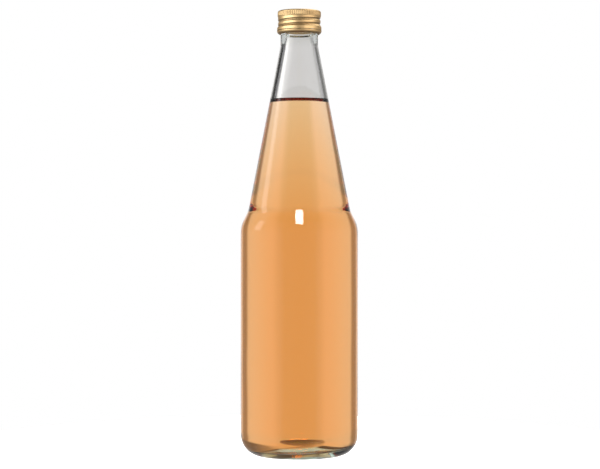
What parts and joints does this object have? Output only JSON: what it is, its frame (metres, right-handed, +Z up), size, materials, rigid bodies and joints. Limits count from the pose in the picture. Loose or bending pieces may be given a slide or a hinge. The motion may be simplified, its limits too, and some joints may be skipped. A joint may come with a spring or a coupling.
{
  "type": "glass drink bottle",
  "caption": "Clear glass returnable bottle with a long conical neck and straight body, filled with amber drink and closed by a gold roll-on screw cap.",
  "frame": {"origin": "centre of the bearing ring, on the surface the bottle stands on", "axes": "+Z up along the bottle's axis; the view from -Y is the front"},
  "size_m": [0.0756, 0.0756, 0.2866],
  "materials": {
    "bottle_glass": "clear flint glass, faint green-grey in the thick base",
    "drink": "clear amber liquid",
    "cap_shell": "gold lacquer, satin",
    "cap_liner": "soft sealing compound",
    "pilfer_band": "gold lacquer, satin"
  },
  "bodies": {
    "bottle": {"bottle_glass": "bottle_glass", "drink": "drink"},
    "liner": {"cap_liner": "cap_liner"},
    "cap": {"cap_shell": "cap_shell"},
    "band": {"pilfer_band": "pilfer_band"}
  },
  "joints": [
    {"name": "cap_rise", "type": "slide", "parent": "bottle", "child": "liner", "axis": [0, 0, 1], "range_m": [0, 0.0255]},
    {"name": "cap_turn", "type": "hinge", "parent": "liner", "child": "cap", "pos_m": [0, 0, 0.2807], "axis": [0, 0, 1], "range_deg": [0, 2880]},
    {"name": "band_spin", "type": "hinge", "parent": "bottle", "child": "band", "pos_m": [0, 0, 0.2727], "axis": [0, 0, 1], "continuous": true}
  ],
  "couplings": [
    {"joint": "cap_rise", "follows": "cap_turn", "m_per_rad": 0.00050611}
  ]
}
